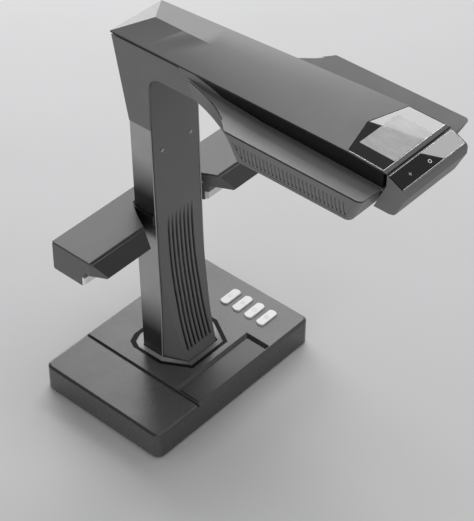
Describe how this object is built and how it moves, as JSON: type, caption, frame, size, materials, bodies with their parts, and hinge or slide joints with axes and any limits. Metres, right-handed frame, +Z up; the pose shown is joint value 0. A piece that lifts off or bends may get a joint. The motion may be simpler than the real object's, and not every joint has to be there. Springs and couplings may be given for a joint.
{
  "type": "document camera",
  "caption": "Overhead document camera: wide base with keys, leaning column, long arm with head, screen and lamps, and a clip-on side light bar.",
  "frame": {"origin": "on the table, under the middle of the object's whole outline seen from above", "axes": "+X the way the arm reaches over the document, +Y towards the side with the keys, +Z up"},
  "size_m": [0.3381, 0.231, 0.3793],
  "materials": {
    "housing_plastic": "fine matte texture",
    "black_plastic": "matte",
    "key_plastic": "satin",
    "collar_plastic": "satin",
    "foot_rubber": "matte",
    "steel": "satin",
    "aluminium": "satin",
    "circuit_board": "satin",
    "lamp_board": "satin",
    "dark_glass": "polished",
    "display": "satin",
    "diffuser": "frosted",
    "lens_glass": "polished"
  },
  "bodies": {
    "stand": {"base_top_cover": "housing_plastic", "base_side_cover": "housing_plastic", "base_bottom_plate": "black_plastic", "rubber_feet": "foot_rubber", "ballast_plate": "steel", "label_plate": "black_plastic", "base_screws": "steel", "main_board": "circuit_board", "usb_ports": "steel", "video_port": "steel", "accessory_port": "steel", "power_inlet": "black_plastic", "power_switch_housing": "black_plastic", "key_board": "circuit_board", "key_switches": "black_plastic", "column_collar": "collar_plastic", "column_spine": "aluminium", "column_shell": "housing_plastic", "column_front_panel": "housing_plastic", "panel_caps": "steel", "wiring_harness": "black_plastic", "head_housing": "housing_plastic", "arm_roof_cover": "housing_plastic", "arm_tray": "black_plastic", "arm_beam": "aluminium", "screen_glass": "dark_glass", "display_module": "display", "nose_cover": "housing_plastic", "touch_panel": "dark_glass", "touch_board": "circuit_board", "vent_grille_left": "housing_plastic", "vent_grille_right": "housing_plastic", "lamp_diffusers": "diffuser", "lamp_boards": "lamp_board", "heat_sink": "aluminium", "camera_board": "circuit_board", "camera_barrel": "black_plastic", "camera_lens": "lens_glass", "camera_window": "lens_glass"},
    "key_1": {"key_1": "key_plastic"},
    "key_2": {"key_2": "key_plastic"},
    "key_3": {"key_3": "key_plastic"},
    "key_4": {"key_4": "key_plastic"},
    "power_rocker": {"power_rocker": "black_plastic"},
    "side_light": {"side_light_top_shell": "housing_plastic", "side_light_bottom_shell": "housing_plastic", "side_light_diffusers": "diffuser", "side_light_boards": "lamp_board", "side_light_clip": "black_plastic"}
  },
  "joints": [
    {"name": "key_1_press", "type": "slide", "parent": "stand", "child": "key_1", "axis": [0, 0, -1], "range_m": [0, 0.0008], "stiffness_N_per_m": 1500, "springref_m": -0.0004},
    {"name": "key_2_press", "type": "slide", "parent": "stand", "child": "key_2", "axis": [0, 0, -1], "range_m": [0, 0.0008], "stiffness_N_per_m": 1500, "springref_m": -0.0004},
    {"name": "key_3_press", "type": "slide", "parent": "stand", "child": "key_3", "axis": [0, 0, -1], "range_m": [0, 0.0008], "stiffness_N_per_m": 1500, "springref_m": -0.0004},
    {"name": "key_4_press", "type": "slide", "parent": "stand", "child": "key_4", "axis": [0, 0, -1], "range_m": [0, 0.0008], "stiffness_N_per_m": 1500, "springref_m": -0.0004},
    {"name": "power_rocker_tilt", "type": "hinge", "parent": "stand", "child": "power_rocker", "pos_m": [-0.16455, 0.0835, 0.0135], "axis": [0, 1, 0], "range_deg": [0, 14]},
    {"name": "side_light_removal", "type": "slide", "parent": "stand", "child": "side_light", "axis": [-1, 0, 0], "range_m": [0, 0.06]}
  ]
}
